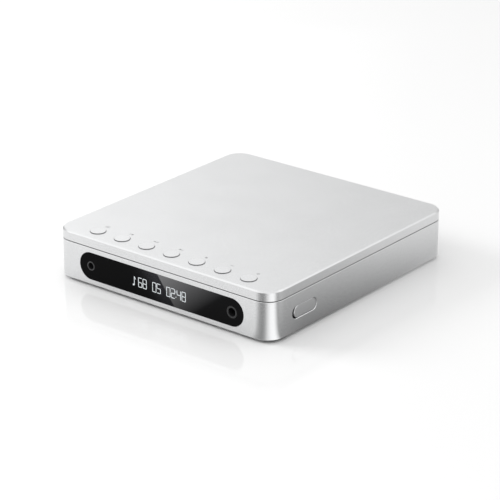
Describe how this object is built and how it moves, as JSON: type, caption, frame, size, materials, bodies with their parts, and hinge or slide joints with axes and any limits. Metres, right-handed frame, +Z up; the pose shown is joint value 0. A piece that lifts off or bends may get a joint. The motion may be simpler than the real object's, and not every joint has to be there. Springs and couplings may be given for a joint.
{
  "type": "portable cd player",
  "caption": "Flat portable disc player: metal tray and hinged metal lid with round keys, dark front window with two sockets, side opening slider, disc drive inside.",
  "frame": {"origin": "middle of the player's footprint, on the surface its feet stand on", "axes": "+X to the right of someone facing the front window, +Y to the back, where the hinge is, +Z up"},
  "size_m": [0.137, 0.144, 0.0267],
  "materials": {
    "case_aluminium": "fine blasted and anodised",
    "knob_aluminium": "fine blasted and anodised",
    "key_aluminium": "fine blasted and anodised, bright cut edge",
    "black_rubber": "matt",
    "screw_steel": "dark plated",
    "window_gloss": "piano gloss",
    "display_glass": "clear glass over black",
    "board_green": "solder mask",
    "jack_grey": "satin",
    "jack_black": "satin",
    "socket_steel": "plated",
    "chip_black": "matt",
    "battery_wrap": "shrink sleeve",
    "lead_red": "insulation",
    "moulded_black": "fine moulded texture",
    "moulded_grey": "glass-filled, matt",
    "ribbon_film": "amber film",
    "motor_steel": "plated can",
    "rod_steel": "ground and polished",
    "hinge_steel": "pressed sheet",
    "switch_steel": "pressed cover",
    "pickup_cast": "die-cast",
    "lens_glass": "coated",
    "gear_white": "moulded",
    "gear_brass": "machined"
  },
  "bodies": {
    "base": {"base_shell": "case_aluminium", "rubber_feet": "black_rubber", "base_screws": "screw_steel", "front_window": "window_gloss", "display_panel": "display_glass", "display_board": "board_green", "headphone_jack_small": "jack_grey", "headphone_jack_balanced": "jack_black", "rear_jacks": "jack_black", "usb_socket": "socket_steel", "main_board": "board_green", "main_board_parts": "chip_black", "board_screws": "screw_steel", "battery_pack": "battery_wrap", "battery_pad": "black_rubber", "battery_leads": "lead_red", "switch_board": "board_green", "mode_switch_body": "socket_steel", "deck": "moulded_black", "mechanism_chassis": "moulded_grey", "mechanism_dampers": "black_rubber", "damper_screws": "screw_steel", "mechanism_ribbon": "ribbon_film", "spindle_motor": "motor_steel", "guide_rods": "rod_steel", "sled_motor": "motor_steel", "gear_axle": "rod_steel", "latch_spring": "rod_steel", "hinge_base_leaves": "hinge_steel", "hinge_pins": "rod_steel", "hinge_base_screws": "screw_steel"},
    "lid": {"lid_shell": "case_aluminium", "lid_liner": "moulded_black", "lid_screws": "screw_steel", "lid_striker": "moulded_black", "key_board": "board_green", "key_switches": "switch_steel", "hinge_lid_leaves": "hinge_steel", "hinge_lid_screws": "screw_steel"},
    "turntable": {"turntable": "moulded_black", "spindle_shaft": "rod_steel", "turntable_mat": "black_rubber", "hub_balls": "rod_steel"},
    "sled": {"pickup_body": "pickup_cast", "pickup_magnets": "motor_steel", "sled_rack": "gear_white"},
    "lens": {"lens_holder": "moulded_black", "objective_lens": "lens_glass"},
    "drive_gear": {"drive_gear": "gear_white"},
    "motor_pinion": {"motor_pinion": "gear_brass"},
    "latch": {"opening_knob": "knob_aluminium", "latch_slide": "moulded_grey"},
    "mode_switch": {"mode_switch_lever": "moulded_black"},
    "key_mode": {"key_mode": "key_aluminium"},
    "key_previous": {"key_previous": "key_aluminium"},
    "key_play": {"key_play": "key_aluminium"},
    "key_next": {"key_next": "key_aluminium"},
    "key_stop": {"key_stop": "key_aluminium"},
    "key_volume_down": {"key_volume_down": "key_aluminium"},
    "key_volume_up": {"key_volume_up": "key_aluminium"}
  },
  "joints": [
    {"name": "lid_hinge", "type": "hinge", "parent": "base", "child": "lid", "pos_m": [0, 0.0704, 0.0211], "axis": [-1, 0, 0], "range_deg": [0, 70]},
    {"name": "turntable_spin", "type": "hinge", "parent": "base", "child": "turntable", "pos_m": [0, -0.001, 0.0176], "axis": [0, 0, 1], "continuous": true},
    {"name": "sled_slide", "type": "slide", "parent": "base", "child": "sled", "axis": [0, 1, 0], "range_m": [0, 0.0345]},
    {"name": "lens_focus", "type": "slide", "parent": "sled", "child": "lens", "axis": [0, 0, 1], "range_m": [-0.0004, 0.0004], "stiffness_N_per_m": 30},
    {"name": "drive_gear_spin", "type": "hinge", "parent": "base", "child": "drive_gear", "pos_m": [0.0245, 0.013, 0.008], "axis": [0, 0, 1], "range_deg": [-600, 600]},
    {"name": "motor_pinion_spin", "type": "hinge", "parent": "base", "child": "motor_pinion", "pos_m": [0.0301, 0.0033, 0.008], "axis": [0, 0, 1], "range_deg": [-2200, 2200]},
    {"name": "open_slider", "type": "slide", "parent": "base", "child": "latch", "axis": [0, -1, 0], "range_m": [0, 0.00165], "stiffness_N_per_m": 600, "deforming": ["latch_spring"]},
    {"name": "mode_switch_slide", "type": "slide", "parent": "base", "child": "mode_switch", "axis": [1, 0, 0], "range_m": [0, 0.002]},
    {"name": "key_mode_press", "type": "slide", "parent": "lid", "child": "key_mode", "axis": [0, 0, -1], "range_m": [0, 0.00035], "stiffness_N_per_m": 800},
    {"name": "key_previous_press", "type": "slide", "parent": "lid", "child": "key_previous", "axis": [0, 0, -1], "range_m": [0, 0.00035], "stiffness_N_per_m": 800},
    {"name": "key_play_press", "type": "slide", "parent": "lid", "child": "key_play", "axis": [0, 0, -1], "range_m": [0, 0.00035], "stiffness_N_per_m": 800},
    {"name": "key_next_press", "type": "slide", "parent": "lid", "child": "key_next", "axis": [0, 0, -1], "range_m": [0, 0.00035], "stiffness_N_per_m": 800},
    {"name": "key_stop_press", "type": "slide", "parent": "lid", "child": "key_stop", "axis": [0, 0, -1], "range_m": [0, 0.00035], "stiffness_N_per_m": 800},
    {"name": "key_volume_down_press", "type": "slide", "parent": "lid", "child": "key_volume_down", "axis": [0, 0, -1], "range_m": [0, 0.00035], "stiffness_N_per_m": 800},
    {"name": "key_volume_up_press", "type": "slide", "parent": "lid", "child": "key_volume_up", "axis": [0, 0, -1], "range_m": [0, 0.00035], "stiffness_N_per_m": 800}
  ],
  "couplings": [
    {"joint": "drive_gear_spin", "follows": "sled_slide", "rad_per_m": -285.71},
    {"joint": "motor_pinion_spin", "follows": "sled_slide", "rad_per_m": 1047.6}
  ]
}
